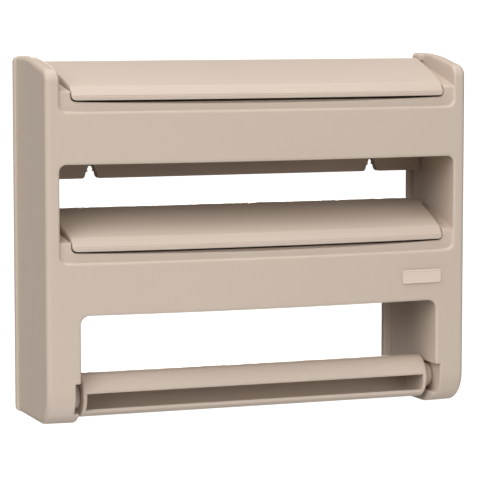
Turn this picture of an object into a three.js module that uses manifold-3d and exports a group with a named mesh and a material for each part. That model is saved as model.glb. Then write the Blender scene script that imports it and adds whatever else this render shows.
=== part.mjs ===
// Wall-hung kitchen dispenser for two film or foil rolls and one towel roll, in millimetres, +Z up.
// X runs across the width and -Y is the front. The pieces are drawn from the foremost corner and the
// underside of the arms, and the outer group moves them so that the origin lies on the wall plane,
// in the middle of the upper cross rail.
import * as THREE from "three";
import { mergeVertices } from "three/addons/utils/BufferGeometryUtils.js";
import Module from "manifold-3d";

const wasm = await Module();
wasm.setup();

// ---- driving dimensions ----
const WIDTH = 370; // across the rear frame's rim
const RIM = 2; // the rim stands this far outside the housing
const DEPTH = 91.5; // front corners to the wall plane
const FRAME_THICK = 6.5;
const HEIGHT = 295;
const BOW = 12; // how far the middle of the front stands forward of its corners
const WALL = 2.8;
const GAP = 0.3; // between pieces that touch

const MODULE_PITCH = 120.3; // one film compartment above the other
const PANEL_LOW = 90; // lower edge of the lower front panel
const PANEL_CREASE = 132.8; // where a panel steps back below its lid
const PANEL_TOP = 139.2;
const PANEL_STEP = 2.2;

const CHEEK_X = 172; // inner face of a side cheek, at the front
const ARM_X = 155.7; // inner face of a side arm, at the front
const CHEEK_DRAFT = 2; // the cheeks open out towards the wall
const ARM_DRAFT = -2.4; // the arms close in towards the wall
const CORNER_R = 5;
const ARM_TOE_R = 26.4;

const LID_X = 161.5; // half length of a lid at its lip
const LID_FLARE = 6.5; // a lid is longer by this at each end of its hinge edge
const LID_WALL = 2.2;
const HINGE_Y = 68;
const HINGE_Z = 164.2;
const PIN_R = 2.4;
const PIN_CLEAR = 0.1;

const SLOT_X = 125.6;
const SLOT_Z = 203.6; // seat of a hanging slot
const REAR_WALL_Y = 65;
const REAR_WALL_LOW = 194.3;
const COLLAR_DEEP = 10;

const BAR_Y = 22.9;
const BAR_Z = 22.4;
const BAR_R = 17.8;
const BAR_WALL = 2.5;
const BAR_X = 151.7; // outer face of an end of the bar
const BAR_END = 3.4;
const BAR_GAP_TOP = 10; // degrees above the front, where the channel's opening starts
const BAR_GAP_LOW = -44;
const HUB_R = 10.5;
const POCKET_R = 12.5;
const POCKET_DEEP = 4.5;
const EAR_X = 169.6; // inner end of the ear on each cheek above the upper hinge pin

const SCREW_R = 1.6;
const SCREW_HEAD_R = 3.2;
const SCREW_HEAD = 2.2;
const SCREW_LONG = 20;
const BOSS_R = 4.5;

const HALF = WIDTH / 2 - RIM;
const FRAME_Y = DEPTH - FRAME_THICK;
const REAR_Y = FRAME_Y - GAP;
const RAIL_LOW = 203; // lower edge of the upper cross rail
const RAIL_TOP = 251;

// ---- materials ----
const plastic = (color, roughness = 0.55) => new THREE.MeshStandardMaterial({ color, roughness, metalness: 0 });
const TAUPE = 0xc3b3a4;
const TAUPE_DARK = 0xa89888;
const PLATE = 0xd2c5b6;
const STEEL = 0x9a9a98;

// ---- geometry helpers ----
function solidOf(geometry) {
  const bare = geometry.clone();
  bare.deleteAttribute("normal");
  bare.deleteAttribute("uv");
  const merged = mergeVertices(bare, 1e-4);
  const mesh = new wasm.Mesh({
    numProp: 3,
    vertProperties: merged.attributes.position.array,
    triVerts: new Uint32Array(merged.index.array),
  });
  return new wasm.Manifold(mesh);
}

function meshOf(solid, name, material) {
  const { numProp, vertProperties, triVerts } = solid.getMesh();
  const positions = new Float32Array((vertProperties.length / numProp) * 3);
  for (let i = 0; i < positions.length / 3; i++) {
    positions.set(vertProperties.subarray(i * numProp, i * numProp + 3), i * 3);
  }
  const geometry = new THREE.BufferGeometry();
  geometry.setAttribute("position", new THREE.BufferAttribute(positions, 3));
  geometry.setIndex(new THREE.BufferAttribute(triVerts, 1));
  geometry.computeVertexNormals();
  const mesh = new THREE.Mesh(geometry, material);
  mesh.name = name;
  return mesh;
}

const join = (...solids) => solids.reduce((a, b) => a.add(b));
const outlineOf = (points) => new THREE.Shape(points.map(([u, v]) => new THREE.Vector2(u, v)));

// Points of an arc about (cy, cz), from one angle to another in degrees, counted from +Y towards +Z.
function arc(cy, cz, r, from, to, count) {
  return Array.from({ length: count + 1 }, (_, i) => {
    const a = THREE.MathUtils.degToRad(from + ((to - from) * i) / count);
    return [cy + r * Math.cos(a), cz + r * Math.sin(a)];
  });
}

// A side view outline, as (y, z) points, carried along X.
function alongX(points, x0, x1, steps = 1) {
  const geometry = new THREE.ExtrudeGeometry(outlineOf(points), { depth: x1 - x0, steps, bevelEnabled: false });
  return geometry.applyMatrix4(new THREE.Matrix4().set(0, 0, 1, x0, 1, 0, 0, 0, 0, 1, 0, 0, 0, 0, 0, 1));
}

// A front view outline, as (x, z) points or a Shape with holes, carried along Y.
function alongY(outline, y0, y1) {
  const shape = Array.isArray(outline) ? outlineOf(outline) : outline;
  const geometry = new THREE.ExtrudeGeometry(shape, { depth: y1 - y0, bevelEnabled: false });
  return geometry.applyMatrix4(new THREE.Matrix4().set(1, 0, 0, 0, 0, 0, -1, y1, 0, 1, 0, 0, 0, 0, 0, 1));
}

const box = (x0, x1, y0, y1, z0, z1) =>
  new THREE.BoxGeometry(x1 - x0, y1 - y0, z1 - z0).translate((x0 + x1) / 2, (y0 + y1) / 2, (z0 + z1) / 2);

const rodX = (r, x0, x1, y, z, sides = 20) =>
  new THREE.CylinderGeometry(r, r, x1 - x0, sides).rotateZ(Math.PI / 2).translate((x0 + x1) / 2, y, z);

const rodY = (r, y0, y1, x, z, sides = 16) =>
  new THREE.CylinderGeometry(r, r, y1 - y0, sides).translate(x, (y0 + y1) / 2, z);

// Moves every vertex of a geometry by a function of its place.
function shaped(geometry, move) {
  const place = geometry.attributes.position;
  for (let i = 0; i < place.count; i++) {
    const [x, y, z] = move(place.getX(i), place.getY(i), place.getZ(i));
    place.setXYZ(i, x, y, z);
  }
  return geometry;
}

// The front bows forward as a parabola across the width, fading out from NEAR to FAR behind it.
const BOW_NEAR = 8;
const BOW_FAR = 62;
const bowAt = (x, y) =>
  BOW * (1 - (x / HALF) ** 2) * THREE.MathUtils.clamp((BOW_FAR - y) / (BOW_FAR - BOW_NEAR), 0, 1);
const bowed = (geometry) => shaped(geometry, (x, y, z) => [x, y - bowAt(x, y), z]);

const mirrored = (solid) => solid.mirror([1, 0, 0]);

// ---- housing ----
// Side view of the outer surface, pulled in by an inset for the hollow.
function sideOutline(inset, rear) {
  const toe = ARM_TOE_R - inset;
  return [
    [rear, inset],
    [rear, HEIGHT - inset],
    [52 - inset * 0.3, HEIGHT - inset],
    ...arc(9, 277.5, 9 - inset, 101, 180, 5),
    ...arc(ARM_TOE_R, ARM_TOE_R, toe, 180, 270, 7),
  ].reverse();
}

// One block of a side, from x0 out to the side face, with the front corner rounded in plan.
function sideBlock(x0, draft) {
  const turns = 4;
  const start = HALF - CORNER_R;
  return shaped(alongX(sideOutline(0, REAR_Y), x0, HALF, turns + 1), (x, y, z) => {
    const k = Math.round(((x - x0) / (HALF - x0)) * (turns + 1));
    const angle = k ? ((k - 1) / turns) * (Math.PI / 2) : 0;
    const across = k ? start + CORNER_R * Math.sin(angle) : x0 + (draft * y) / REAR_Y;
    const cut = CORNER_R * (1 - Math.cos(angle));
    return [across, Math.max(y, cut) - bowAt(across, y), z];
  });
}

function sideHollow(x0, draft) {
  const outline = sideOutline(WALL, DEPTH);
  return shaped(alongX(outline, x0 + WALL, HALF - WALL), (x, y, z) =>
    [x < HALF - WALL - 0.01 ? x + (draft * y) / REAR_Y : x, y, z]);
}

const below = (z) => solidOf(box(-WIDTH, WIDTH, -DEPTH, 2 * DEPTH, -HEIGHT, z));

const ARM_TOP = PANEL_LOW + 1;
const ARM_SCREWS = [14, 74].map((z) => ({ x: 170, z }));

function housingSide() {
  const cheek = solidOf(sideBlock(CHEEK_X, CHEEK_DRAFT));
  const arm = solidOf(sideBlock(ARM_X, ARM_DRAFT)).intersect(below(ARM_TOP));
  const cheekHollow = solidOf(sideHollow(CHEEK_X, CHEEK_DRAFT));
  const armHollow = solidOf(sideHollow(ARM_X, ARM_DRAFT)).intersect(below(ARM_TOP - WALL));
  const pocketBlock = solidOf(
    box(ARM_X, ARM_X + POCKET_DEEP + WALL, WALL, BAR_Y + POCKET_R + WALL, BAR_Z - POCKET_R - WALL, BAR_Z + POCKET_R + WALL),
  );
  let side = join(cheek, arm).subtract(cheekHollow).subtract(armHollow);
  side = side.add(pocketBlock);
  for (const { x, z } of ARM_SCREWS) {
    side = side.add(solidOf(rodY(BOSS_R, 58, REAR_Y, x, z)));
    side = side.add(solidOf(box(x, HALF - WALL / 2, 58, REAR_Y, z - WALL / 2, z + WALL / 2)));
  }
  const pocket = join(
    solidOf(rodX(POCKET_R, ARM_X - 6, ARM_X + POCKET_DEEP, BAR_Y, BAR_Z, 32)),
    solidOf(box(ARM_X - 6, ARM_X + POCKET_DEEP, -BOW, BAR_Y, BAR_Z - POCKET_R, BAR_Z + POCKET_R)),
  );
  side = side.subtract(pocket);
  for (const { x, z } of ARM_SCREWS) {
    side = side.subtract(solidOf(rodY(SCREW_R + GAP, 62, DEPTH, x, z, 12)));
  }
  for (const lift of [0, MODULE_PITCH]) {
    side = side.add(shoulder(lift));
    side = side.subtract(solidOf(rodX(PIN_R + PIN_CLEAR, CHEEK_X - 3, HALF - WALL - 1, HINGE_Y, HINGE_Z + lift, 16)));
  }
  const ear = box(EAR_X, CHEEK_X + WALL, 64, 79.5, 167.2 + MODULE_PITCH, 173.8 + MODULE_PITCH);
  return side.add(solidOf(ear));
}

// The stepped block between the end of a lid and its cheek.
const shoulderX = (y) => LID_X + 0.8 + (LID_FLARE * y) / HINGE_Y;
function shoulder(lift) {
  const back = 60;
  const top = (y) => 147 + lift + 0.28 * y;
  const low = PANEL_CREASE - 4 + lift;
  const outline = [
    [PANEL_STEP, low],
    [PANEL_STEP + WALL, low],
    [PANEL_STEP + WALL, top(PANEL_STEP) - WALL],
    [back, top(back) - WALL],
    [back, top(back)],
    [PANEL_STEP, top(PANEL_STEP)],
  ];
  const outer = CHEEK_X + WALL;
  return solidOf(shaped(alongX(outline, LID_X, outer, 2), (x, y, z) => {
    const t = (x - LID_X) / (outer - LID_X);
    const across = shoulderX(y) + (outer - shoulderX(y)) * t;
    return [across, y - bowAt(across, y), z];
  }));
}

function frontPanel(lift) {
  const outline = [
    [0, PANEL_LOW + 1],
    [1, PANEL_LOW],
    [WALL, PANEL_LOW],
    [WALL, PANEL_CREASE - 4],
    [PANEL_STEP + WALL, PANEL_CREASE - 2],
    [PANEL_STEP + WALL, PANEL_TOP - 0.5],
    [PANEL_STEP + WALL - 0.5, PANEL_TOP],
    [PANEL_STEP + 0.6, PANEL_TOP],
    [PANEL_STEP, PANEL_TOP - 0.6],
    [PANEL_STEP, PANEL_CREASE],
    [0, PANEL_CREASE - PANEL_STEP],
  ].map(([y, z]) => [y, z + lift]);
  const end = CHEEK_X + WALL / 2;
  return solidOf(bowed(alongX(outline, -end, end, 20)));
}

function housing() {
  const side = housingSide();
  const whole = join(side, mirrored(side), frontPanel(0), frontPanel(MODULE_PITCH));
  return meshOf(whole, "housing", plastic(TAUPE));
}

// ---- troughs ----
const TROUGH_FRONT = 5.6;
const TROUGH_WALL = 2.4;
const TROUGH_R = 20;
const TROUGH_FLOOR = PANEL_LOW + 1.5;
const TROUGH_END = 170.5;
const TROUGH_SCREW_X = 90;
const TROUGH_TOP = 154;
const TROUGH_LIP = 139.2;

function troughOutline(lift) {
  const front = TROUGH_FRONT;
  const rear = REAR_WALL_Y + TROUGH_WALL;
  const bend = TROUGH_R + TROUGH_WALL;
  const centre = TROUGH_FLOOR + bend;
  return [
    [front, TROUGH_LIP],
    ...arc(front + bend, centre, bend, 180, 270, 6),
    ...arc(rear - bend, centre, bend, 270, 360, 6),
    [rear, TROUGH_TOP],
    [rear - TROUGH_WALL, TROUGH_TOP],
    ...arc(rear - bend, centre, TROUGH_R, 360, 270, 6),
    ...arc(front + bend, centre, TROUGH_R, 270, 180, 6),
    [front + TROUGH_WALL, TROUGH_LIP],
  ].map(([y, z]) => [y, z + lift]);
}

function troughEnd(lift) {
  const outline = [
    [TROUGH_FRONT + 1, TROUGH_LIP - 4],
    ...arc(28, TROUGH_FLOOR + 22.4, 21.4, 180, 270, 4),
    ...arc(45, TROUGH_FLOOR + 22.4, 21.4, 270, 360, 4),
    [REAR_WALL_Y + 1, TROUGH_TOP],
    [50, TROUGH_TOP],
    [12, 138],
  ].map(([y, z]) => [y, z + lift]);
  return solidOf(bowed(alongX(outline, TROUGH_END - TROUGH_WALL, TROUGH_END)));
}

function trough(lift, screwZ) {
  const channel = solidOf(bowed(alongX(troughOutline(lift), -TROUGH_END, TROUGH_END, 12)));
  let whole = join(channel, troughEnd(lift), mirrored(troughEnd(lift)));
  for (const x of [-TROUGH_SCREW_X, TROUGH_SCREW_X]) {
    whole = whole.add(solidOf(rodY(BOSS_R, REAR_WALL_Y + 0.5, REAR_Y, x, screwZ)));
    whole = whole.subtract(solidOf(rodY(SCREW_R + GAP, REAR_WALL_Y + 3, DEPTH, x, screwZ, 12)));
  }
  return whole;
}

const MIDDLE_SCREW_Z = 118;
const UPPER_SCREW_Z = 232;

// A hanging slot: a flared mouth that narrows to a round seat, cut up into a thick collar.
function hangingSlot(x) {
  const half = [
    [6.6, REAR_WALL_LOW - 1],
    [5.6, REAR_WALL_LOW + 1.6],
    [4.4, REAR_WALL_LOW + 5.9],
  ];
  const seat = arc(0, SLOT_Z, 2.6, 0, 180, 8);
  const outline = [...half, ...seat, ...half.map(([u, z]) => [-u, z]).reverse()].map(([u, z]) => [x + u, z]);
  return solidOf(alongY(outline, REAR_WALL_Y - 4, REAR_WALL_Y + COLLAR_DEEP + 4));
}

function upperTrough() {
  const skirt = solidOf(
    box(-CHEEK_X + GAP, CHEEK_X - GAP, REAR_WALL_Y, REAR_WALL_Y + TROUGH_WALL, REAR_WALL_LOW, TROUGH_FLOOR + MODULE_PITCH + 26),
  );
  let whole = join(trough(MODULE_PITCH, UPPER_SCREW_Z), skirt);
  for (const x of [-SLOT_X, SLOT_X]) {
    const collar = box(x - 9, x + 9, REAR_WALL_Y, REAR_WALL_Y + COLLAR_DEEP, REAR_WALL_LOW, SLOT_Z + 8);
    whole = whole.add(solidOf(collar)).subtract(hangingSlot(x));
  }
  return meshOf(whole, "upper_trough", plastic(TAUPE_DARK));
}

const middleTrough = () => meshOf(trough(0, MIDDLE_SCREW_Z), "middle_trough", plastic(TAUPE_DARK));

// ---- rear frame ----
const WINDOW_X = 169.3;
const BAY_X = 147.3;
const BAY_TOP = 88;
const CROWN = 288; // top of the frame between the cheeks

function openingIn(shape, x, z0, z1) {
  shape.holes.push(new THREE.Path([[-x, z0], [-x, z1], [x, z1], [x, z0]].map(([u, v]) => new THREE.Vector2(u, v))));
}

function rearFrame() {
  const edge = WIDTH / 2;
  const right = [
    [BAY_X, BAY_TOP],
    [BAY_X - 0.6, 0.5],
    [edge - 5, 0.5],
    [edge - 1.5, 2],
    [edge, 5.5],
    [edge, HEIGHT - 5.5],
    [edge - 1.5, HEIGHT - 2],
    [edge - 5, HEIGHT - 0.5],
    [CHEEK_X + 4, HEIGHT - 0.5],
    [CHEEK_X + 4, CROWN],
  ];
  const shape = outlineOf([...right, ...right.map(([x, z]) => [-x, z]).reverse()]);
  openingIn(shape, WINDOW_X, 164, RAIL_LOW);
  openingIn(shape, WINDOW_X - 12, RAIL_TOP, CROWN - 14);
  openingIn(shape, WINDOW_X - 12, 128, 152);
  let whole = solidOf(alongY(shape, FRAME_Y, DEPTH));
  for (const x of [-SLOT_X, SLOT_X]) {
    whole = whole.subtract(solidOf(box(x - 3.4, x + 3.4, FRAME_Y - 1, DEPTH + 1, RAIL_LOW - 1, SLOT_Z + 4)));
  }
  for (const { x, z } of screwPlaces()) {
    whole = whole.subtract(solidOf(rodY(SCREW_R + 2 * GAP, FRAME_Y - 1, DEPTH + 1, x, z, 12)));
    whole = whole.subtract(solidOf(rodY(SCREW_HEAD_R + 2 * GAP, DEPTH - SCREW_HEAD - 2 * GAP, DEPTH + 1, x, z)));
  }
  return meshOf(whole, "rear_frame", plastic(TAUPE));
}

function screwPlaces() {
  const right = [
    ...ARM_SCREWS,
    { x: TROUGH_SCREW_X, z: MIDDLE_SCREW_Z },
    { x: TROUGH_SCREW_X, z: UPPER_SCREW_Z },
  ];
  return right.flatMap(({ x, z }) => [{ x: -x, z }, { x, z }]);
}

function screw({ x, z }, index) {
  const head = DEPTH - GAP;
  const profile = [
    [0, -SCREW_LONG],
    [SCREW_R * 0.4, -SCREW_LONG],
    [SCREW_R, -SCREW_LONG + 2],
    [SCREW_R, -SCREW_HEAD],
    [SCREW_HEAD_R, -SCREW_HEAD],
    [SCREW_HEAD_R, -0.5],
    [SCREW_HEAD_R - 0.7, 0],
    [0, 0],
  ];
  const turned = new THREE.LatheGeometry(profile.map(([r, y]) => new THREE.Vector2(r, y)), 12);
  const mesh = meshOf(solidOf(turned), `frame_screw_${index + 1}`, plastic(STEEL, 0.35));
  mesh.material.metalness = 1;
  mesh.position.set(x, head, z);
  return mesh;
}

// ---- lids ----
// Side view of a closed lid, drawn for the lower compartment and pulled in by an inset.
function lidOutline(inset) {
  const lip = 140.6;
  if (!inset) {
    return [
      [0.6, lip],
      [0.6, lip + 3.6],
      [1.6, lip + 5],
      [7.6, 150.6],
      [24, 158.4],
      [46, 166.4],
      [64, 170.6],
      [73, 170],
      [74.5, 168.3],
      [74.5, 162.4],
      [8, 143.6],
    ].reverse();
  }
  return [
    [0.6 + inset, lip - 8],
    [0.6 + inset, lip + 2.8],
    [8.8, 148.2],
    [24.8, 155.9],
    [46.7, 163.9],
    [64.2, 168],
    [71.6, 167.6],
    [72.3, 166.8],
    [72.3, 150],
  ].reverse();
}

function lid(lift) {
  const raised = (points) => points.map(([y, z]) => [y, z + lift]);
  const flared = (short) => (x, y, z) => {
    const half = LID_X - short;
    const across = (x / half) * (half + (LID_FLARE * y) / HINGE_Y);
    return [across, y - bowAt(across, y), z];
  };
  const outer = solidOf(shaped(alongX(raised(lidOutline(0)), -LID_X, LID_X, 14), flared(0)));
  const hollow = solidOf(
    shaped(alongX(raised(lidOutline(LID_WALL)), LID_WALL - LID_X, LID_X - LID_WALL, 14), flared(LID_WALL)),
  );
  const cut = solidOf(rodX(PIN_R + PIN_CLEAR, LID_X - 8, LID_X + 12, HINGE_Y, HINGE_Z + lift, 16));
  const boss = solidOf(rodX(PIN_R + 2.2, LID_X - 4, LID_X + 5, HINGE_Y, HINGE_Z + lift, 16)).intersect(outer);
  const whole = join(outer.subtract(hollow), boss, mirrored(boss));
  return whole.subtract(cut).subtract(mirrored(cut));
}

const PIN_INNER = LID_X - 3;
const PIN_OUTER = CHEEK_X + 4;
function hingePin(name, side, lift) {
  const [x0, x1] = side < 0 ? [-PIN_OUTER, -PIN_INNER] : [PIN_INNER, PIN_OUTER];
  return meshOf(solidOf(rodX(PIN_R, x0, x1, HINGE_Y, HINGE_Z + lift, 16)), name, plastic(TAUPE));
}

// A serrated strip that hangs behind the lip of a lid.
function cutter(name, lift) {
  const reach = 150;
  const pitch = 5;
  const y0 = 0.6 + LID_WALL + GAP;
  const top = 143;
  const tip = 140.8;
  const teeth = Array.from({ length: (2 * reach) / pitch }, (_, i) => [
    [-reach + i * pitch, tip + 1.6],
    [-reach + (i + 0.5) * pitch, tip],
  ]).flat();
  const outline = [...teeth, [reach, tip + 1.6], [reach, top], [-reach, top]].map(([x, z]) => [x, z + lift]);
  const strip = bowed(alongY(outline, y0, y0 + 1));
  return meshOf(solidOf(strip), name, plastic(TAUPE_DARK));
}

// ---- towel bar ----
function towelChannel() {
  const from = 180 - BAR_GAP_TOP;
  const to = 180 - BAR_GAP_LOW - 360;
  const outline = [
    ...arc(BAR_Y, BAR_Z, BAR_R, from, to, 30),
    ...arc(BAR_Y, BAR_Z, BAR_R - BAR_WALL, to, from, 30),
  ].reverse();
  const end = solidOf(rodX(BAR_R, BAR_X - BAR_END, BAR_X, BAR_Y, BAR_Z, 48));
  const whole = join(solidOf(alongX(outline, 0.5 - BAR_X, BAR_X - 0.5)), end, mirrored(end));
  return meshOf(whole, "towel_bar", plastic(TAUPE));
}

function barHub(name, side) {
  const near = BAR_X + GAP;
  const far = ARM_X + POCKET_DEEP - GAP;
  const [x0, x1] = side < 0 ? [-far, -near] : [near, far];
  return meshOf(solidOf(rodX(HUB_R, x0, x1, BAR_Y, BAR_Z, 24)), name, plastic(TAUPE_DARK));
}

// ---- blank plate ----
function blankPlate() {
  const [x0, x1, z0, z1] = [123, 159.5, 104.5, 115.5];
  const r = 1.2;
  const outline = [
    ...arc(x1 - r, z1 - r, r, 0, 90, 3),
    ...arc(x0 + r, z1 - r, r, 90, 180, 3),
    ...arc(x0 + r, z0 + r, r, 180, 270, 3),
    ...arc(x1 - r, z0 + r, r, 270, 360, 3),
  ];
  const plate = shaped(alongY(outline, -GAP - 0.7, -GAP), (x, y, z) => [x, y - bowAt(x, 0), z]);
  return meshOf(solidOf(plate), "blank_plate", plastic(PLATE, 0.4));
}

// ---- assembly ----
const pieces = new THREE.Group();
pieces.add(housing());
pieces.add(rearFrame());
pieces.add(upperTrough());
pieces.add(middleTrough());
pieces.add(blankPlate());
pieces.add(...screwPlaces().map(screw));
for (const [level, lift] of [["middle", 0], ["upper", MODULE_PITCH]]) {
  pieces.add(meshOf(lid(lift), `${level}_lid`, plastic(TAUPE)));
  pieces.add(cutter(`${level}_cutter`, lift));
  pieces.add(hingePin(`${level}_lid_pin_left`, -1, lift));
  pieces.add(hingePin(`${level}_lid_pin_right`, 1, lift));
}
pieces.add(towelChannel());
for (const [hand, side] of [["left", -1], ["right", 1]]) {
  pieces.add(barHub(`bar_hub_${hand}`, side));
}
pieces.position.set(0, -DEPTH, -(RAIL_LOW + RAIL_TOP) / 2);

const dispenser = new THREE.Group();
dispenser.add(pieces);

export default dispenser;
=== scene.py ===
"""Looks of a wall-hung kitchen dispenser for two film or foil rolls and a towel roll.

Every piece is drawn in millimetres on a bench of its own: X runs across the width, Y counts from the
front corners towards the wall and Z from the underside. to_frame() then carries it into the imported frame.
"""

import math

import bpy
import numpy as np
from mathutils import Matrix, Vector


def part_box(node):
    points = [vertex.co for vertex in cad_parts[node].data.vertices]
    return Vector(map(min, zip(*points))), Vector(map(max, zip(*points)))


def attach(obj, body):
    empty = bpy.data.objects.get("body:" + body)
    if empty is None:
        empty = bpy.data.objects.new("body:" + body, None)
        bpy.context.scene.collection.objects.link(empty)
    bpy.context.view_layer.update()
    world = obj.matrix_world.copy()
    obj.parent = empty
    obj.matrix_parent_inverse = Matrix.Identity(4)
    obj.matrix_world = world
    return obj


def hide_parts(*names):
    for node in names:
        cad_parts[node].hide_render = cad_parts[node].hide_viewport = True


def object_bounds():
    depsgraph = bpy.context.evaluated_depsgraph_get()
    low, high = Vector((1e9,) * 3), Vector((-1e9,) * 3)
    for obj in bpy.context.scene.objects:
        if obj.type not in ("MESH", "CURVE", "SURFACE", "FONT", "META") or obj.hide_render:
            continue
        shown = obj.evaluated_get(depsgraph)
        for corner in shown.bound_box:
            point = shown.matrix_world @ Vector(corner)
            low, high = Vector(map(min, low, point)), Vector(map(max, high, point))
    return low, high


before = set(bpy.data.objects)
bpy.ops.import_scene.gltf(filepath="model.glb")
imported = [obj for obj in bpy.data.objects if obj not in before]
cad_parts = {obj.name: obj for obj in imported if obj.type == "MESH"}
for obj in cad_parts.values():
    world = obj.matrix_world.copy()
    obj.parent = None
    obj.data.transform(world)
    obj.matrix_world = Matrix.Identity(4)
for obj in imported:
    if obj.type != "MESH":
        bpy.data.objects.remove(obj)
CAD_LOW, CAD_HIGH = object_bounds()

bl_info = {
    "name": "Kitchen roll dispenser",
    "version": (1, 0, 0),
    "blender": (4, 5, 0),
    "location": "3D View > Sidebar > Dispenser",
    "description": "Builds a moulded wall dispenser for film, foil and towel rolls around its packed frame",
    "category": "Object",
}

MM = 0.001

# ---- places shared by several pieces, in millimetres on the bench ----
HALF = 183.0  # half width of the housing
DEPTH = 91.5  # front corners to the wall plane
HEIGHT = 295.0
REAR_Y = 84.7  # back of the housing
FRAME_Y = 85.0  # front of the rear frame
PITCH = 120.3  # one film compartment above the other
LIFTS = {"middle": 0.0, "upper": PITCH}
CREASE = 131.8  # where the lower panel steps back below its lid
RIM = 139.9  # top of the lower panel beside the ledges
STEP = 2.2
CHEEK_X = 172.0
CHEEK_DRAFT = 2.0
ARM_X = 155.7
ARM_DRAFT = -2.4
LID_X = 161.5
LID_FLARE = 6.5
HINGE_Y = 68.0
HINGE_Z = 164.2
SLOT_X = 125.6
SLOT_Z = 203.6
RAIL_LOW = 203.0  # lower and upper edge of the cross rail behind the hanging slots
RAIL_TOP = 251.0
TROUGH_END = 170.5
BAR_Y = 22.9
BAR_Z = 22.4
BAR_R = 17.8
BAR_X = 151.7
BAR_WALL = 2.5
BAR_END = 3.4
BAR_LIPS = (10.0, -44.0)  # degrees above the front of the two lips of the bar's opening
SCREWS = [(170, 14), (170, 74), (90, 118), (90, 232)]
BOW_NEAR = 8.0
BOW_FAR = 62.0
ORIGIN = np.array([0.0, -DEPTH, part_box("housing")[0].z / MM])


# ---- settings ----
def length(name, description, millimetres):
    """A length setting, given in millimetres and kept in metres."""
    return bpy.props.FloatProperty(
        name=name,
        description=description,
        default=millimetres * MM,
        min=0.0,
        unit="LENGTH",
        subtype="DISTANCE",
    )


def colour(name, description, value):
    """A colour setting."""
    return bpy.props.FloatVectorProperty(
        name=name, description=description, default=value, size=3, min=0.0, max=1.0, subtype="COLOR"
    )


def factor(name, description, value, highest=1.0):
    """A plain number setting."""
    return bpy.props.FloatProperty(name=name, description=description, default=value, min=0.0, max=highest)


class DispenserShape(bpy.types.PropertyGroup):
    """Sizes of the moulded shapes."""

    bow: length("Bow", "How far the middle of the front stands forward of its corners", 11.8)
    side_edge: length("Side edge", "Rounding of the outer edge of each side", 4.2)
    mouth_edge: length("Opening edge", "Rounding of the front edge round each opening", 1.9)
    mouth_corner: length("Opening corner", "Radius of the corners of each opening, seen from the front", 6.0)
    toe: length("Toe", "Rounding of the lower front of each arm, seen from the side", 26.4)
    lid_edge: length("Lid edge", "Rounding of the edges of the lids", 1.5)
    lid_wall: length("Lid wall", "Thickness of the lids", 2.2)
    arch: length("Arch", "How far the middle of each panel's upper rim dips below its ends", 2.4)
    bead: length("Bead", "Thickness of the bead along each edge of the towel bar's opening", 3.0)


class DispenserFinish(bpy.types.PropertyGroup):
    """Colours and grain of the plastic and the screws."""

    shell: colour("Shell", "Colour of the moulded plastic", (0.560, 0.462, 0.384))
    plate: colour("Plate", "Colour of the small blank plate", (0.69, 0.585, 0.495))
    steel: colour("Steel", "Colour of the screws", (0.55, 0.54, 0.52))
    roughness: factor("Roughness", "Roughness of the moulded plastic", 0.47)
    grain: factor("Grain", "Strength of the fine moulded grain", 0.16)
    grain_size: length("Grain size", "Width of one grain of the moulded texture", 0.75)
    mottle: factor("Mottle", "Strength of the slow change of colour across the plastic", 0.035)


class DispenserStage(bpy.types.PropertyGroup):
    """Light, floor and camera."""

    floor_gap: length("Floor gap", "How far the floor lies below the dispenser", 420.0)
    sky: factor("Sky", "Strength of the even light from all round", 0.03, 10.0)
    key: factor("Key", "Strength of the main light", 2.4, 20.0)
    lens: factor("Lens", "Focal length of the camera in millimetres on a 36 mm sensor", 181.2, 500.0)


# ---- distance formulas: negative inside, in millimetres ----
def meet(a, b, r):
    """What lies inside both shapes, with the edge between them rounded to radius r.

    Near the edge it is the length of (a + r, b + r) less r, and elsewhere the larger of a and b.
    """
    outside = np.hypot(np.maximum(a + r, 0), np.maximum(b + r, 0))
    return np.minimum(np.maximum(a, b), -r) + outside


def merge(a, b, r):
    """What lies inside either shape, with a fillet of radius r between them: meet() turned inside out."""
    return -meet(-a, -b, r)


def slant(u, v, start, end):
    """Distance to the line from start to end in the (u, v) plane, positive on its right hand side."""
    du, dv = end[0] - start[0], end[1] - start[1]
    return ((u - start[0]) * dv - (v - start[1]) * du) / math.hypot(du, dv)


def rectangle(u, v, low, high, r):
    """Rectangle from corner low to corner high with corners of radius r."""
    a = np.abs(u - (low[0] + high[0]) / 2) - (high[0] - low[0]) / 2 + r
    b = np.abs(v - (low[1] + high[1]) / 2) - (high[1] - low[1]) / 2 + r
    return np.hypot(np.maximum(a, 0), np.maximum(b, 0)) + np.minimum(np.maximum(a, b), 0) - r


def block(x, y, z, low, high, r):
    """Box from corner low to corner high with edges of radius r."""
    flat = rectangle(x, y, low[:2], high[:2], r)
    return meet(flat, np.abs(z - (low[2] + high[2]) / 2) - (high[2] - low[2]) / 2, r)


def every(*shapes):
    """What lies inside all the shapes, with sharp edges."""
    return np.maximum.reduce(np.broadcast_arrays(*shapes))


def either(*shapes):
    """What lies inside any of the shapes, with sharp edges."""
    return np.minimum.reduce(np.broadcast_arrays(*shapes))


# ---- surfaces ----
def graded(*stops):
    """Grid lines from the first stop to the last, where each stop is (place, spacing from there on)."""
    spans = [
        np.linspace(a, b, max(2, int(round((b - a) / step)) + 1))[:-1]
        for (a, step), (b, _) in zip(stops, stops[1:])
    ]
    return np.concatenate(spans + [np.array([stops[-1][0]], float)])


def both_sides(lines):
    """Grid lines that start at zero, mirrored to the other side."""
    return np.concatenate([-lines[:0:-1], lines])


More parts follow.
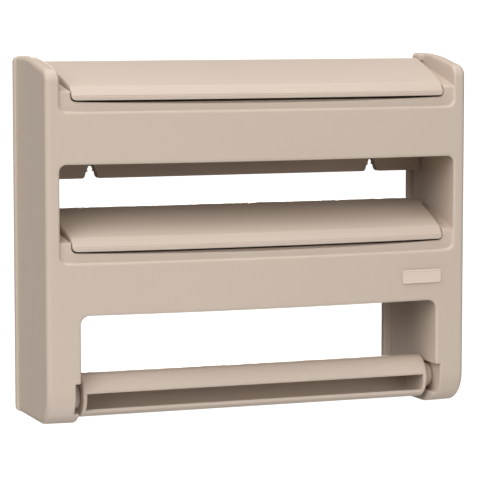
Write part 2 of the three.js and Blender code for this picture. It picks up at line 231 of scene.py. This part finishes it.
def level_surface(distance, xs, ys, zs, settle=3, reach=0.9):
    """Closed surface where a distance formula is zero, found on a whole grid of lines at once.

    Each grid cell that the surface crosses gets one point, the mean of the crossings on the cell's
    edges, and each crossed grid line gets one four-sided face between the four cells round it. The
    points then slide down the formula's own slope until its value there is zero.
    """
    lines = [np.asarray(a, float) for a in (xs, ys, zs)]
    value = distance(*np.meshgrid(*lines, indexing="ij", sparse=True))
    value = np.broadcast_to(value, [len(a) for a in lines])
    inside = value < 0
    shape = np.array(inside.shape) - 1
    corners = np.array([(i, j, k) for i in (0, 1) for j in (0, 1) for k in (0, 1)])
    held = sum(
        inside[i : i + shape[0], j : j + shape[1], k : k + shape[2]].astype(np.int8) for i, j, k in corners
    )
    cells = np.argwhere((held > 0) & (held < len(corners)))
    index = np.full(shape, -1, np.int64)
    index[tuple(cells.T)] = np.arange(len(cells))

    total = np.zeros((len(cells), 3))
    hits = np.zeros((len(cells), 1))
    for axis in range(3):
        ahead = np.eye(3, dtype=int)[axis]
        for corner in corners[corners[:, axis] == 0]:
            a, b = cells + corner, cells + corner + ahead
            va, vb = value[tuple(a.T)], value[tuple(b.T)]
            crossed = (va < 0) != (vb < 0)
            share = np.where(crossed, va / np.where(crossed, va - vb, 1), 0)
            place = np.stack([lines[n][a[:, n]] for n in range(3)], 1)
            place[:, axis] += share * (lines[axis][b[:, axis]] - lines[axis][a[:, axis]])
            total += place * crossed[:, None]
            hits += crossed[:, None]
    points = total / hits

    faces = []
    for axis in range(3):
        u, v = (axis + 1) % 3, (axis + 2) % 3
        here = [slice(1, -1)] * 3
        here[axis] = slice(0, -1)
        there = list(here)
        there[axis] = slice(1, None)
        low, high = inside[tuple(here)], inside[tuple(there)]
        edge = np.argwhere(low != high)
        leaving = low[tuple(edge.T)]
        edge[:, [u, v]] += 1
        ring = []
        for du, dv in ((-1, -1), (0, -1), (0, 0), (-1, 0)):
            cell = edge.copy()
            cell[:, u] += du
            cell[:, v] += dv
            ring.append(index[tuple(cell.T)])
        quads = np.stack(ring, 1)
        quads[~leaving] = quads[~leaving][:, ::-1]
        faces.append(quads)

    tick = 0.02
    for _ in range(settle):
        here = distance(*points.T)
        steps = np.eye(3) * tick
        rises = [distance(*(points + step).T) - distance(*(points - step).T) for step in steps]
        slope = np.stack([rise / (2 * tick) for rise in rises], 1)
        steep = np.maximum((slope**2).sum(1), 0.2)
        move = -(here / steep)[:, None] * slope
        points = points + np.clip(move, -reach, reach)
    return points, np.concatenate(faces)


def turned(profile, axis_y, axis_z, count=96):
    """Closed surface of a profile turned about a line along X.

    profile is rows of (x, radius) from one pole to the other, and a point at angle t sits at
    (x, axis_y + radius cos t, axis_z + radius sin t).
    """
    x, r = np.asarray(profile, float).T
    t = np.arange(count) * 2 * np.pi / count
    points = np.stack(
        [
            np.broadcast_to(x[:, None], (len(x), count)),
            axis_y + r[:, None] * np.cos(t),
            axis_z + r[:, None] * np.sin(t),
        ],
        2,
    ).reshape(-1, 3)
    i = np.arange(count)
    row = np.arange(len(x) - 1)[:, None] * count
    nxt = (i + 1) % count
    quads = np.stack([row + i, row + nxt, row + count + nxt, row + count + i], 2)
    return points, quads.reshape(-1, 4)[:, ::-1]


def bow_at(x, y, bow):
    """How far the front stands forward: a parabola across the width, fading out towards the wall."""
    fade = np.clip((BOW_FAR - y) / (BOW_FAR - BOW_NEAR), 0, 1)
    return bow * (1 - (x / HALF) ** 2) * fade


def bowed(points, bow):
    """The points with the bow of the front added."""
    out = points.copy()
    out[:, 1] -= bow_at(out[:, 0], out[:, 1], bow)
    return out


# ---- objects ----
def to_frame(points):
    """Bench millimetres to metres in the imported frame."""
    return (points + ORIGIN) * MM


def piece(name, surface, body, nodes, finish, crease=38.0):
    """Makes an object of a surface, puts its finish on and hangs it on its body in place of CAD nodes."""
    points, faces = surface
    mesh = bpy.data.meshes.new(name)
    mesh.vertices.add(len(points))
    mesh.vertices.foreach_set("co", to_frame(points).astype(np.float32).ravel())
    mesh.loops.add(faces.size)
    mesh.loops.foreach_set("vertex_index", faces.astype(np.int32).ravel())
    mesh.polygons.add(len(faces))
    mesh.polygons.foreach_set("loop_start", np.arange(0, faces.size, faces.shape[1], dtype=np.int32))
    mesh.update(calc_edges=True)
    mesh.validate()
    mesh.shade_smooth()
    mesh.set_sharp_from_angle(angle=math.radians(crease))
    mesh.materials.append(finish)
    obj = bpy.data.objects.new(name, mesh)
    bpy.context.scene.collection.objects.link(obj)
    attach(obj, body)
    if nodes:
        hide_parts(*nodes)
    return obj


def dress(node, finish):
    """Gives a CAD node that stays in view its finish."""
    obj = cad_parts[node]
    if not obj.material_slots:
        obj.data.materials.append(finish)
    for held in obj.material_slots:
        held.material = finish


# ---- finishes ----
def tree_of(name):
    """A new material with its node tree emptied."""
    material = bpy.data.materials.new(name)
    material.use_nodes = True
    material.node_tree.nodes.clear()
    return material, material.node_tree


def add(tree, kind, **values):
    """A node with its sockets and properties set by name."""
    node = tree.nodes.new(kind)
    for key, value in values.items():
        if key in node.inputs:
            node.inputs[key].default_value = value
        else:
            setattr(node, key, value)
    return node


def moulded(name, base, finish, shade=1.0, gloss=0.0):
    """Satin plastic with a fine moulded grain, a slow mottle of colour and uneven sheen."""
    if name in bpy.data.materials:
        return bpy.data.materials[name]
    material, tree = tree_of(name)
    link = tree.links.new
    where = add(tree, "ShaderNodeTexCoord").outputs["Object"]
    out = add(tree, "ShaderNodeOutputMaterial")
    shader = add(tree, "ShaderNodeBsdfPrincipled")
    shader.inputs["IOR"].default_value = 1.49
    shader.inputs["Specular IOR Level"].default_value = 0.42
    link(shader.outputs["BSDF"], out.inputs["Surface"])

    slow = add(tree, "ShaderNodeTexNoise")
    slow.inputs["Scale"].default_value = 14.0
    slow.inputs["Detail"].default_value = 3.0
    fine = add(tree, "ShaderNodeTexNoise")
    fine.inputs["Scale"].default_value = 0.5 / finish.grain_size
    fine.inputs["Detail"].default_value = 4.0
    fine.inputs["Roughness"].default_value = 0.62
    for noise in (slow, fine):
        link(where, noise.inputs["Vector"])

    dark = tuple(c * shade * (1 - finish.mottle) for c in base) + (1.0,)
    light = tuple(min(1.0, c * shade * (1 + finish.mottle)) for c in base) + (1.0,)
    blend = add(tree, "ShaderNodeMix", data_type="RGBA")
    colour_a, colour_b = [s for s in blend.inputs if s.type == "RGBA"]
    colour_a.default_value, colour_b.default_value = dark, light
    weigh = add(tree, "ShaderNodeMath", operation="MULTIPLY_ADD")
    link(slow.outputs["Fac"], weigh.inputs[0])
    weigh.inputs[1].default_value = 0.6
    grainy = add(tree, "ShaderNodeMath", operation="MULTIPLY")
    link(fine.outputs["Fac"], grainy.inputs[0])
    grainy.inputs[1].default_value = 0.4
    link(grainy.outputs[0], weigh.inputs[2])
    link(weigh.outputs[0], blend.inputs["Factor"])
    mixed = [s for s in blend.outputs if s.type == "RGBA"][0]
    link(mixed, shader.inputs["Base Color"])

    sheen = add(tree, "ShaderNodeMapRange")
    link(fine.outputs["Fac"], sheen.inputs["Value"])
    rough = finish.roughness - gloss
    sheen.inputs["To Min"].default_value = rough - 0.06
    sheen.inputs["To Max"].default_value = rough + 0.08
    link(sheen.outputs["Result"], shader.inputs["Roughness"])

    bump = add(tree, "ShaderNodeBump")
    bump.inputs["Strength"].default_value = finish.grain
    bump.inputs["Distance"].default_value = 0.0004
    link(fine.outputs["Fac"], bump.inputs["Height"])
    link(bump.outputs["Normal"], shader.inputs["Normal"])
    return material


def zinc(name, finish):
    """Zinc plated steel with a fine patchy tint, sheen and bump."""
    if name in bpy.data.materials:
        return bpy.data.materials[name]
    material, tree = tree_of(name)
    link = tree.links.new
    where = add(tree, "ShaderNodeTexCoord").outputs["Object"]
    out = add(tree, "ShaderNodeOutputMaterial")
    shader = add(tree, "ShaderNodeBsdfPrincipled")
    shader.inputs["Metallic"].default_value = 1.0
    link(shader.outputs["BSDF"], out.inputs["Surface"])
    patch = add(tree, "ShaderNodeTexNoise")
    patch.inputs["Scale"].default_value = 700.0
    patch.inputs["Detail"].default_value = 5.0
    link(where, patch.inputs["Vector"])
    tint = add(tree, "ShaderNodeValToRGB")
    base = tuple(finish.steel)
    tint.color_ramp.elements[0].color = tuple(c * 0.82 for c in base) + (1.0,)
    tint.color_ramp.elements[1].color = tuple(min(1.0, c * 1.12) for c in base) + (1.0,)
    link(patch.outputs["Fac"], tint.inputs["Fac"])
    link(tint.outputs["Color"], shader.inputs["Base Color"])
    sheen = add(tree, "ShaderNodeMapRange")
    sheen.inputs["To Min"].default_value = 0.28
    sheen.inputs["To Max"].default_value = 0.5
    link(patch.outputs["Fac"], sheen.inputs["Value"])
    link(sheen.outputs["Result"], shader.inputs["Roughness"])
    bump = add(tree, "ShaderNodeBump")
    bump.inputs["Strength"].default_value = 0.2
    bump.inputs["Distance"].default_value = 0.0002
    link(patch.outputs["Fac"], bump.inputs["Height"])
    link(bump.outputs["Normal"], shader.inputs["Normal"])
    return material


def shell_finish(scene):
    """The plastic that nearly every piece is moulded in."""
    finish = scene.dispenser_finish
    return moulded("shell_plastic", tuple(finish.shell), finish)


# ---- housing ----
def flared(x_edge, y):
    """Half length of a lid at depth y, given its half length at the lip."""
    return x_edge + LID_FLARE * y / HINGE_Y


def side_outline(y, z, toe):
    """Side view of the housing: a rounded toe, an upright front, a sloping shoulder and a flat top."""
    foot = meet(-y, -z, toe)
    slope = slant(y, z, (52.0, 295.0), (12.0, 287.2))
    crown = meet(slope, z - HEIGHT, 4.0)
    return meet(foot, crown, 8.5)


def housing_distance(shape):
    """Distance formula of the housing before the front is bowed."""
    edge, lip, corner = shape.side_edge / MM, shape.mouth_edge / MM, shape.mouth_corner / MM
    toe, arch = shape.toe / MM, shape.arch / MM
    skin = 2.8

    def distance(x, y, z):
        ax = np.abs(x)
        outer = every(meet(side_outline(y, z, toe), ax - HALF, edge), y - REAR_Y)
        cheek = CHEEK_X + CHEEK_DRAFT * y / REAR_Y - ax
        arm = ARM_X + ARM_DRAFT * y / REAR_Y - ax
        deep = either(meet(outer, cheek, lip), every(meet(outer, arm, lip), z - 91.0))

        notch = rectangle(x, z, (-CHEEK_X, CREASE + PITCH), (CHEEK_X, 500.0), corner)
        window = rectangle(x, z, (-CHEEK_X, CREASE), (CHEEK_X, 210.4), corner)
        bay = rectangle(x, z, (-ARM_X, -200.0), (ARM_X, 89.6), corner + 1.5)
        solid = every(-notch, -window, -bay)
        front = every(meet(outer, solid, lip), y - skin)
        shell = either(deep, front)

        for lift in LIFTS.values():
            rim = z - (RIM + lift) + arch * (1 - (x / LID_X) ** 2)
            low = CREASE - 8.0 + lift - z
            ramp = z - (147.4 + lift + 0.26 * y)
            beside = every(flared(LID_X + 0.7, y) - ax, ramp)
            front = meet(STEP - y, merge(rim, beside, 4.4), 1.0)
            tread = every(front, y - STEP - skin, low, ax - CHEEK_X - 1.5)
            ledge = every(meet(STEP - y, beside, 1.0), y - 60.0, low, ax - 176.0)
            stub = every(np.hypot(y - HINGE_Y, z - HINGE_Z - lift) - 3.6, 169.6 - ax, ax - 176.0)
            shell = merge(shell, ledge, 1.4)
            shell = either(shell, tread, stub)

        ear = block(ax, y, z - PITCH, (169.6, 64.0, 167.2), (178.0, 79.5, 173.8), 1.6)
        shell = either(shell, ear)
        reach = np.where(y < BAR_Y, np.abs(z - BAR_Z), np.hypot(y - BAR_Y, z - BAR_Z))
        pocket = every(reach - 12.5, ax - 160.2)
        return meet(shell, -pocket, 0.9)

    return distance


class DISPENSER_OT_housing(bpy.types.Operator):
    """Build the front shell: both sides, the two bowed panels and the ledges beside the lids"""

    bl_idname = "dispenser.housing"
    bl_label = "Housing"

    def execute(self, context):
        scene = context.scene
        shape = scene.dispenser_shape
        xs = both_sides(graded((0, 4.6), (152, 0.9), (176, 1.0), (178, 0.8), (185, 1)))
        ys = graded((-2, 0.7), (6, 1.6), (30, 2.4), (84, 0.7), (86, 1))
        zs = graded(
            (-2, 1.1), (38, 2.6), (78, 1.0), (92, 3.0), (126, 0.9), (142, 1.5),
            (176, 2.6), (204, 0.8), (214, 3.0), (246, 0.9), (296, 0.9), (297, 1),
        )
        points, faces = level_surface(housing_distance(shape), xs, ys, zs)
        points = bowed(points, shape.bow / MM)
        piece("housing_shell", (points, faces), "case", ["housing"], shell_finish(scene))
        return {"FINISHED"}


# ---- rear frame ----
def frame_distance(x, y, z):
    """Distance formula of the rear frame: a rounded plate with windows and counterbored holes."""
    ax = np.abs(x)
    rim = meet(rectangle(x, z, (-185.0, 0.5), (185.0, 294.5), 4.5), -every(ax - 176.0, 288.0 - z), 1.0)
    bay = rectangle(x, z, (-147.0, -200.0), (147.0, 88.0), 4.0)
    open_view = [
        rectangle(x, z, (-169.3, 164.0), (169.3, RAIL_LOW), 3.0),
        rectangle(ax, z, (SLOT_X - 3.4, RAIL_LOW - 5.0), (SLOT_X + 3.4, SLOT_Z + 4.0), 2.0),
        rectangle(x, z, (-157.3, RAIL_TOP), (157.3, 274.0), 2.0),
        rectangle(x, z, (-157.3, 128.0), (157.3, 152.0), 2.0),
    ]
    flat = every(rim, -bay, *[-w for w in open_view])
    plate = meet(flat, np.abs(y - (FRAME_Y + DEPTH) / 2) - (DEPTH - FRAME_Y) / 2, 1.7)
    for sx, sz in SCREWS:
        out = np.hypot(ax - sx, z - sz)
        plate = every(plate, 2.1 - out)
        plate = meet(plate, -every(out - 3.8, DEPTH - 2.8 - y), 0.4)
    return plate


class DISPENSER_OT_rear_frame(bpy.types.Operator):
    """Build the frame that closes the housing at the wall"""

    bl_idname = "dispenser.rear_frame"
    bl_label = "Rear frame"

    def execute(self, context):
        scene = context.scene
        xs = both_sides(graded((0, 5), (84, 0.8), (96, 5), (119, 0.8), (132, 3), (144, 0.9), (187, 1)))
        ys = graded((84.2, 0.7), (92.4, 1))
        zs = graded(
            (-1, 0.9), (20, 3), (68, 0.9), (92, 2), (112, 0.9), (156, 1.0), (168, 3), (199, 0.8), (210, 1.4),
            (226, 0.9), (255, 3), (270, 0.9), (296, 1),
        )
        surface = level_surface(frame_distance, xs, ys, zs)
        piece("rear_rim", surface, "case", ["rear_frame"], shell_finish(scene))
        return {"FINISHED"}


# ---- compartments ----
def slot_distance(x, z):
    """Front view of a hanging slot: a flared mouth that narrows past two snap nibs to a round seat."""
    u = np.abs(np.abs(x) - SLOT_X)
    wide = np.interp(z, [190.0, 194.3, 196.2, 200.2, 203.6], [7.6, 6.8, 5.4, 4.4, 2.6])
    throat = every(u - wide, z - SLOT_Z)
    nib = 0.9 - np.hypot(u - 3.9, z - 200.6)
    seat = np.hypot(u, z - SLOT_Z) - 2.6
    return either(every(throat, nib), seat)


def trough_distance(lift, hung):
    """Distance formula of a compartment, with the hanging slots where it is hung."""

    def distance(x, y, z):
        ax = np.abs(x)
        low = z - lift
        hull = rectangle(y, low, (5.6, 91.5), (67.4, 400.0), 22.4)
        hollow = rectangle(y, low, (8.0, 93.9), (65.0, 400.0), 20.0)
        top = low - np.where(y < 30.0, 139.2, 154.0)
        wall = every(meet(hull, top, 0.9), -hollow, ax - TROUGH_END)
        cover = slant(y, low, (50.0, 154.0), (12.0, 136.5))
        end = every(hull, meet(cover, low - 154.0, 0.9), ax - TROUGH_END, TROUGH_END - 2.4 - ax, 6.6 - y)
        whole = either(wall, end)
        for sx, sz in SCREWS[2:]:
            if abs(sz - lift - 112.0) < 12.0:
                out = np.hypot(ax - sx, z - sz)
                boss = every(out - 4.5, 65.5 - y, y - REAR_Y)
                whole = every(merge(whole, boss, 1.5), -every(out - 1.9, 68.0 - y))
        if hung:
            skirt = block(x, y, z, (-171.7, 65.0, 194.3), (171.7, 67.4, 237.8), 0.8)
            collar = block(ax, y, z, (SLOT_X - 9.0, 65.0, 194.3), (SLOT_X + 9.0, 75.0, 211.6), 0.9)
            whole = meet(either(whole, skirt, collar), -slot_distance(x, z), 0.5)
        return whole

    return distance


class DISPENSER_OT_compartments(bpy.types.Operator):
    """Build the two roll compartments, the upper one with its hanging slots"""

    bl_idname = "dispenser.compartments"
    bl_label = "Compartments"

    def execute(self, context):
        scene = context.scene
        bow = scene.dispenser_shape.bow / MM
        xs = both_sides(graded((0, 5), (84, 0.9), (96, 5), (114, 0.6), (137, 4), (164, 0.9), (174, 1)))
        ys = graded((4, 0.8), (9, 1.6), (62, 0.6), (69, 1.0), (76, 2), (84, 0.7), (86, 1))
        for level, lift in LIFTS.items():
            hung = level == "upper"
            zs = graded((90, 0.8), (96, 2), (114, 1.5), (134, 0.8), (141, 2), (152, 0.8), (156, 1)) + lift
            if hung:
                lower = graded((193, 0.5), (211, 0.8), (220, 1.5), (228, 0.9), (238, 1))
                zs = np.concatenate([lower, zs[zs > 238.4]])
            points, faces = level_surface(trough_distance(lift, hung), xs, ys, zs)
            surface = (bowed(points, bow), faces)
            piece(f"{level}_compartment", surface, "case", [f"{level}_trough"], shell_finish(scene))
        return {"FINISHED"}


# ---- lids ----
LID_VIEW = [
    (0.6, 140.7), (74.5, 162.4), (74.5, 168.3), (73.0, 170.0), (64.0, 170.6), (46.0, 166.0), (24.0, 158.8),
    (7.4, 152.0), (1.3, 145.6), (0.6, 144.4),
]


def lid_distance(lift, edge, wall):
    """Distance formula of a closed lid before it is flared and bowed: a hollow wedge with a beaded lip."""

    def outline(y, z, inset, closed):
        loop = LID_VIEW
        sides = [slant(y, z, a, b) for a, b in zip(loop, loop[1:] + loop[:1])]
        if not closed:
            sides = sides[1:]
        shape = sides[0] + inset
        for other in sides[1:]:
            shape = meet(shape, other + inset, 0.5)
        return shape

    def distance(x, y, z):
        ax = np.abs(x)
        low = z - lift
        corner = np.hypot(np.maximum(ax - LID_X + 4.0, 0), np.maximum(144.7 - low, 0)) - 4.0
        outer = meet(meet(outline(y, low, 0.0, True), ax - LID_X, edge), corner, 0.8)
        hollow = every(outline(y, low, wall, False), ax - LID_X + wall, corner + wall)
        whole = every(outer, -hollow)
        barrel = np.hypot(y - HINGE_Y, low - HINGE_Z) - 4.6
        boss = every(barrel, outline(y, low, 0.2, True), ax - LID_X + 0.3, LID_X - 9 - ax)
        whole = either(whole, boss)
        groove = 0.5 - np.hypot(y - 0.5, low - 144.3)
        whole = every(whole, groove)
        bore = every(np.hypot(y - HINGE_Y, low - HINGE_Z) - 2.55, LID_X - 8 - ax)
        return every(whole, -bore)

    return distance


class DISPENSER_OT_lids(bpy.types.Operator):
    """Build the two hinged lids"""

    bl_idname = "dispenser.lids"
    bl_label = "Lids"

    def execute(self, context):
        scene = context.scene
        shape = scene.dispenser_shape
        xs = both_sides(graded((0, 5), (150, 0.8), (163, 1)))
        ys = graded((-0.6, 0.35), (3, 0.8), (10, 2.4), (60, 0.9), (76, 1))
        zs = graded((139.4, 0.35), (147, 0.7), (172.2, 1))
        for level, lift in LIFTS.items():
            distance = lid_distance(lift, shape.lid_edge / MM, shape.lid_wall / MM)
            points, faces = level_surface(distance, xs, ys, zs + lift)
            points[:, 0] *= flared(LID_X, points[:, 1]) / LID_X
            points = bowed(points, shape.bow / MM)
            body = f"{level}_lid_body"
            piece(f"{level}_lid_cover", (points, faces), body, [f"{level}_lid"], shell_finish(scene))
        return {"FINISHED"}


# ---- towel bar ----
def bar_distance(bead):
    """Distance formula of the towel bar: a closed tube with a wedge cut out of its front between two lips."""

    def distance(x, y, z):
        ax = np.abs(x)
        v, w = y - BAR_Y, z - BAR_Z
        out = np.hypot(v, w)
        skin = meet(out - BAR_R, ax - BAR_X, 1.3)
        hollow = meet(out - BAR_R + BAR_WALL, ax - BAR_X + BAR_END, 2.2)
        tilts = [math.radians(tilt) for tilt in BAR_LIPS]
        high, low = [v * math.sin(tilt) + w * math.cos(tilt) for tilt in tilts]
        wedge = every(high, -low, v, ax - BAR_X + BAR_END)
        tube = meet(every(skin, -hollow), -wedge, 0.9)
        middle = BAR_R - bead / 2
        for tilt, push in zip(tilts, (1.0, -1.0)):
            turn = tilt + push * bead / 2 / middle
            lip = np.hypot(v + middle * math.cos(turn), w - middle * math.sin(turn)) - bead / 2
            tube = merge(tube, every(lip, ax - BAR_X + 2.0), 0.7)
        return tube

    return distance


class DISPENSER_OT_towel_bar(bpy.types.Operator):
    """Build the towel bar with the beaded lips of its opening, and the hubs it turns on"""

    bl_idname = "dispenser.towel_bar"
    bl_label = "Towel bar"

    def execute(self, context):
        scene = context.scene
        finish = shell_finish(scene)
        xs = both_sides(graded((0, 6), (142, 0.6), (153, 1)))
        ys = BAR_Y + both_sides(graded((0, 0.6), (18.6, 1)))
        zs = BAR_Z + both_sides(graded((0, 0.6), (18.6, 1)))
        surface = level_surface(bar_distance(scene.dispenser_shape.bead / MM), xs, ys, zs, reach=0.3)
        piece("towel_bar_channel", surface, "bar_roller", ["towel_bar"], finish)

        for hand, side in (("left", -1), ("right", 1)):
            near, far, hub_r = BAR_X + 0.3, 159.9, 10.5
            hub = [(near, 0.0), (near, hub_r - 0.8), (near + 0.8, hub_r)]
            hub += [(far - 0.8, hub_r), (far, hub_r - 0.8), (far, 5.0)]
            hub += [(far - 1.2, 4.0), (far - 1.2, 0.0)]
            shape = [(side * x, radius) for x, radius in hub][::side]
            surface = turned(shape, BAR_Y, BAR_Z)
            piece(f"bar_hub_{hand}_turned", surface, "bar_carrier", [f"bar_hub_{hand}"], finish, 30.0)
        return {"FINISHED"}


# ---- small parts ----
def plate_distance(x, y, z):
    """Distance formula of the blank plate: a thin rounded plate with a raised border."""
    view = rectangle(x, z, (122.6, 104.6), (159.4, 115.8), 1.3)
    body = meet(view, np.abs(y + 0.75) - 0.45, 0.35)
    sunk = rectangle(x, z, (123.8, 105.8), (158.2, 114.6), 0.7)
    return meet(body, -every(sunk, y + 0.85), 0.15)


class DISPENSER_OT_small_parts(bpy.types.Operator):
    """Build the blank plate and the cross-headed screws, and finish the pins and the serrated strips"""

    bl_idname = "dispenser.small_parts"
    bl_label = "Small parts"

    def execute(self, context):
        scene = context.scene
        finish = scene.dispenser_finish
        bow = scene.dispenser_shape.bow / MM
        xs = graded((121.8, 0.3), (125, 2.0), (157, 0.3), (160.2, 1))
        ys = graded((-1.6, 0.12), (0.0, 1))
        zs = graded((103.8, 0.3), (107, 1.2), (113.4, 0.3), (116.6, 1))
        points, faces = level_surface(plate_distance, xs, ys, zs, reach=0.2)
        points[:, 1] -= bow_at(points[:, 0], 0.0, bow)
        plastic = moulded("plate_plastic", tuple(finish.plate), finish, gloss=0.12)
        piece("blank_badge", (points, faces), "case", ["blank_plate"], plastic)

        steel = zinc("zinc_screw", finish)
        for i in range(8):
            low, high = (np.array(c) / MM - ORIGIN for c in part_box(f"frame_screw_{i + 1}"))
            cx, cz = (low[0] + high[0]) / 2, (low[2] + high[2]) / 2

            def screw(x, y, z, cx=cx, cz=cz, low=low, high=high):
                """Distance formula of a pan-head screw with a cross recess and a threaded shank."""
                out = np.hypot(x - cx, z - cz)
                head = meet(every(out - 3.2, high[1] - 2.2 - y), y - high[1], 0.7)
                turn = np.arctan2(z - cz, x - cx) / (2 * np.pi)
                thread = 0.28 * np.abs(((y / 1.4 - turn) % 1.0) * 2 - 1)
                shank = every(out - 1.6 + thread, low[1] - y, y - high[1] + 1, out - (y - low[1]) * 0.8 - 0.4)
                across, along = np.abs(x - cx), np.abs(z - cz)
                arms = either(every(across - 0.45, along - 1.9), every(along - 0.45, across - 1.9))
                return every(either(head, shank), -every(arms, high[1] - 1.2 - y))

            xs = cx + np.linspace(-3.6, 3.6, 29)
            zs = cz + np.linspace(-3.6, 3.6, 29)
            split = high[1] - 2.8
            ys = np.concatenate([np.arange(low[1] - 0.6, split, 0.3), np.arange(split, high[1] + 0.6, 0.25)])
            surface = level_surface(screw, xs, ys, zs, reach=0.15)
            piece(f"screw_{i + 1}", surface, "case", [f"frame_screw_{i + 1}"], steel)

        plastic = shell_finish(scene)
        for level in LIFTS:
            dress(f"{level}_cutter", plastic)
            for hand in ("left", "right"):
                dress(f"{level}_lid_pin_{hand}", plastic)
        return {"FINISHED"}


# ---- stage ----
CAMERA_PLACE = (-0.7097, -1.9242, 0.1102)
CAMERA_LOOKS = (0.35076, 0.93140, -0.09729)
LAMPS = (  # name, share of the key strength, spread in degrees and where the light comes from
    ("overhead_light", 0.70, 60, (0.0, 0.0, 1.0)),
    ("key_light", 1.0, 60, (-0.6, -0.5, 0.6)),
    ("fill_light", 0.44, 60, (0.6, -0.7, 0.36)),
    ("side_light", 0.24, 60, (-0.9, -0.3, 0.3)),
    ("bounce_light", 0.85, 60, (0.0, -0.4, -0.9)),
    ("rear_light", 0.45, 8, (0.35, 0.93, 0.1)),
)


class DISPENSER_OT_stage(bpy.types.Operator):
    """Set up the pale floor, the soft light and the camera"""

    bl_idname = "dispenser.stage"
    bl_label = "Stage"

    def execute(self, context):
        scene = context.scene
        stage = scene.dispenser_stage
        mesh = bpy.data.meshes.new("floor")
        level = CAD_LOW.z - stage.floor_gap
        reach, far, bend, rise = 60.0, 20.0, 6.0, 12.0
        turn = np.linspace(0, np.pi / 2, 24)
        y = np.concatenate([[-reach, far - bend], far - bend + bend * np.sin(turn[1:]), [far]])
        z = np.concatenate([[0, 0], bend - bend * np.cos(turn[1:]), [rise]]) + level
        points = np.stack([np.repeat([-reach, reach], len(y)), np.tile(y, 2), np.tile(z, 2)], 1)
        i = np.arange(len(y) - 1)
        faces = np.stack([i, i + len(y), i + len(y) + 1, i + 1], 1)
        mesh.from_pydata(points, [], faces)
        mesh.shade_smooth()
        floor = bpy.data.objects.new("floor", mesh)
        material, tree = tree_of("floor_paint")
        out = add(tree, "ShaderNodeOutputMaterial")
        shader = add(tree, "ShaderNodeBsdfPrincipled")
        shader.inputs["Base Color"].default_value = (0.93, 0.93, 0.93, 1.0)
        shader.inputs["Roughness"].default_value = 0.9
        shader.inputs["Specular IOR Level"].default_value = 0.0
        tree.links.new(shader.outputs["BSDF"], out.inputs["Surface"])
        mesh.materials.append(material)
        floor.visible_diffuse = False
        floor.visible_glossy = False
        floor.visible_shadow = False
        scene.collection.objects.link(floor)

        world = bpy.data.worlds.new("soft_room")
        world.use_nodes = True
        sky = world.node_tree.nodes["Background"]
        sky.inputs["Color"].default_value = (1.0, 1.0, 1.0, 1.0)
        sky.inputs["Strength"].default_value = stage.sky
        scene.world = world

        for name, share, spread, towards in LAMPS:
            sun = bpy.data.lights.new(name, "SUN")
            sun.energy = stage.key * share
            sun.angle = math.radians(spread)
            lamp = bpy.data.objects.new(name, sun)
            lamp.rotation_euler = Vector(towards).to_track_quat("Z", "Y").to_euler()
            scene.collection.objects.link(lamp)

        lens = bpy.data.cameras.new("camera")
        lens.lens = stage.lens
        lens.sensor_width = 36.0
        camera = bpy.data.objects.new("camera", lens)
        camera.location = CAMERA_PLACE
        camera.rotation_euler = Vector(CAMERA_LOOKS).to_track_quat("-Z", "Y").to_euler()
        scene.collection.objects.link(camera)
        scene.camera = camera
        scene.view_settings.view_transform = "Standard"
        return {"FINISHED"}


OPERATORS = (
    DISPENSER_OT_housing,
    DISPENSER_OT_rear_frame,
    DISPENSER_OT_compartments,
    DISPENSER_OT_lids,
    DISPENSER_OT_towel_bar,
    DISPENSER_OT_small_parts,
    DISPENSER_OT_stage,
)
SETTINGS = {
    "dispenser_shape": DispenserShape,
    "dispenser_finish": DispenserFinish,
    "dispenser_stage": DispenserStage,
}


class DISPENSER_PT_panel(bpy.types.Panel):
    """Settings and build steps of the dispenser"""

    bl_idname = "DISPENSER_PT_panel"
    bl_label = "Dispenser"
    bl_space_type = "VIEW_3D"
    bl_region_type = "UI"
    bl_category = "Dispenser"

    def draw(self, context):
        for group, kind in SETTINGS.items():
            box = self.layout.box()
            for key in kind.__annotations__:
                box.prop(getattr(context.scene, group), key)
        for step in OPERATORS:
            self.layout.operator(step.bl_idname)


CLASSES = (*SETTINGS.values(), *OPERATORS, DISPENSER_PT_panel)


def register():
    for cls in CLASSES:
        bpy.utils.register_class(cls)
    for group, kind in SETTINGS.items():
        setattr(bpy.types.Scene, group, bpy.props.PointerProperty(type=kind))


def unregister():
    for group in SETTINGS:
        delattr(bpy.types.Scene, group)
    for cls in reversed(CLASSES):
        bpy.utils.unregister_class(cls)


def main():
    register()
    bpy.ops.dispenser.housing()
    bpy.ops.dispenser.rear_frame()
    bpy.ops.dispenser.compartments()
    bpy.ops.dispenser.lids()
    bpy.ops.dispenser.towel_bar()
    bpy.ops.dispenser.small_parts()
    bpy.ops.dispenser.stage()


if __name__ == "__main__":
    main()
